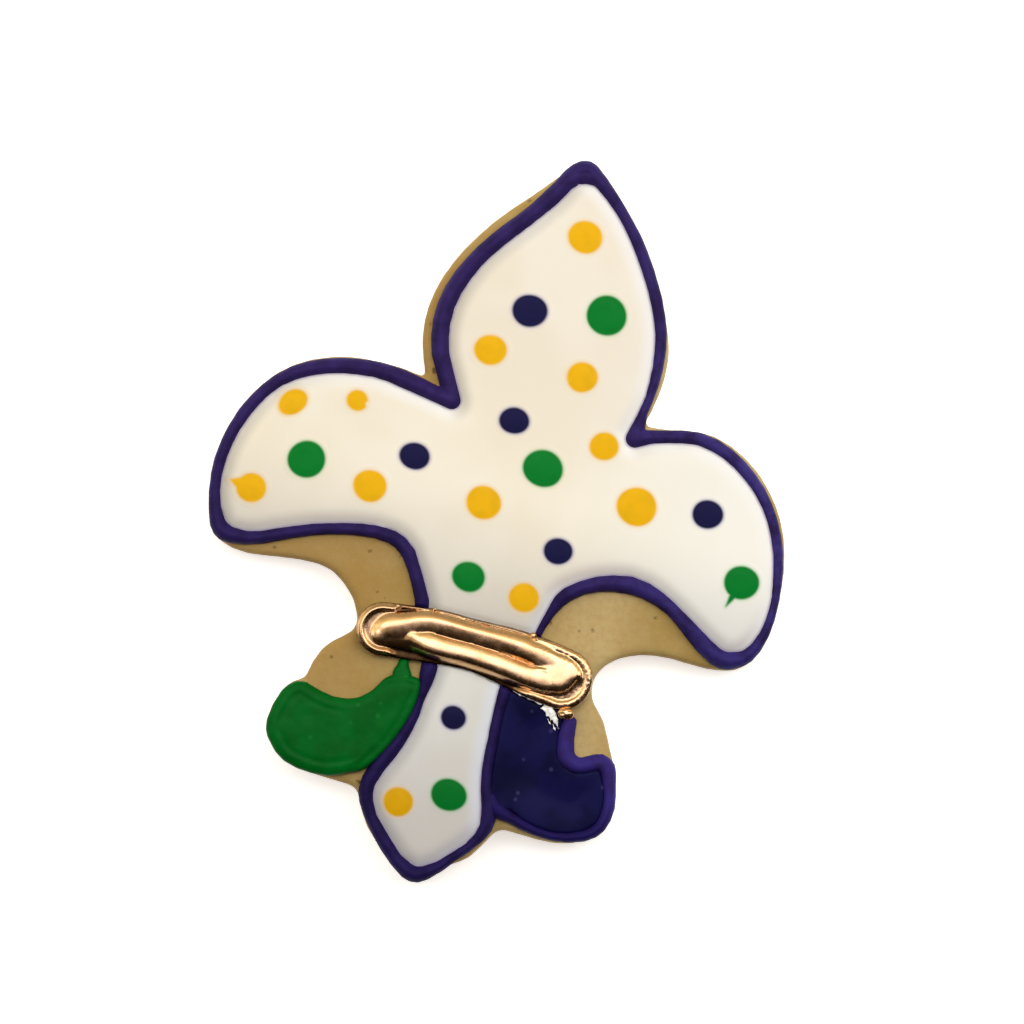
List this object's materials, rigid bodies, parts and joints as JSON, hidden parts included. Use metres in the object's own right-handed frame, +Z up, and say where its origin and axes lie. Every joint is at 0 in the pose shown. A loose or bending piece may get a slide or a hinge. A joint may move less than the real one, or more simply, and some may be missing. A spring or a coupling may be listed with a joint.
{
  "type": "decorated butter cookie",
  "caption": "Fleur-de-lis butter cookie with flooded white royal icing, piped purple lines, coloured dots, a green and a purple curl and a gold band.",
  "frame": {"origin": "centre of the cookie's bounding box, on its flat underside", "axes": "+Z up out of the iced face, +Y along the cookie towards the tip of the middle petal, +X to the right seen from above"},
  "size_m": [0.0799, 0.1017, 0.01],
  "materials": {
    "baked_cookie": "matte, pale golden baked crumb",
    "white_icing": "satin dried royal icing with yellow, green and purple dots",
    "purple_icing": "satin dried royal icing",
    "dark_purple_icing": "satin dried royal icing",
    "green_icing": "satin dried royal icing",
    "yellow_icing": "satin dried royal icing, of dots only",
    "gold_icing": "polished gold leaf over icing"
  },
  "bodies": {
    "root": {"cookie": "baked_cookie", "white_icing_top": "white_icing", "white_icing_tail": "white_icing", "purple_line_top": "purple_icing", "purple_line_tail": "purple_icing", "purple_curl_line": "purple_icing", "purple_curl": "dark_purple_icing", "green_curl": "green_icing", "gold_band": "gold_icing"}
  },
  "joints": []
}
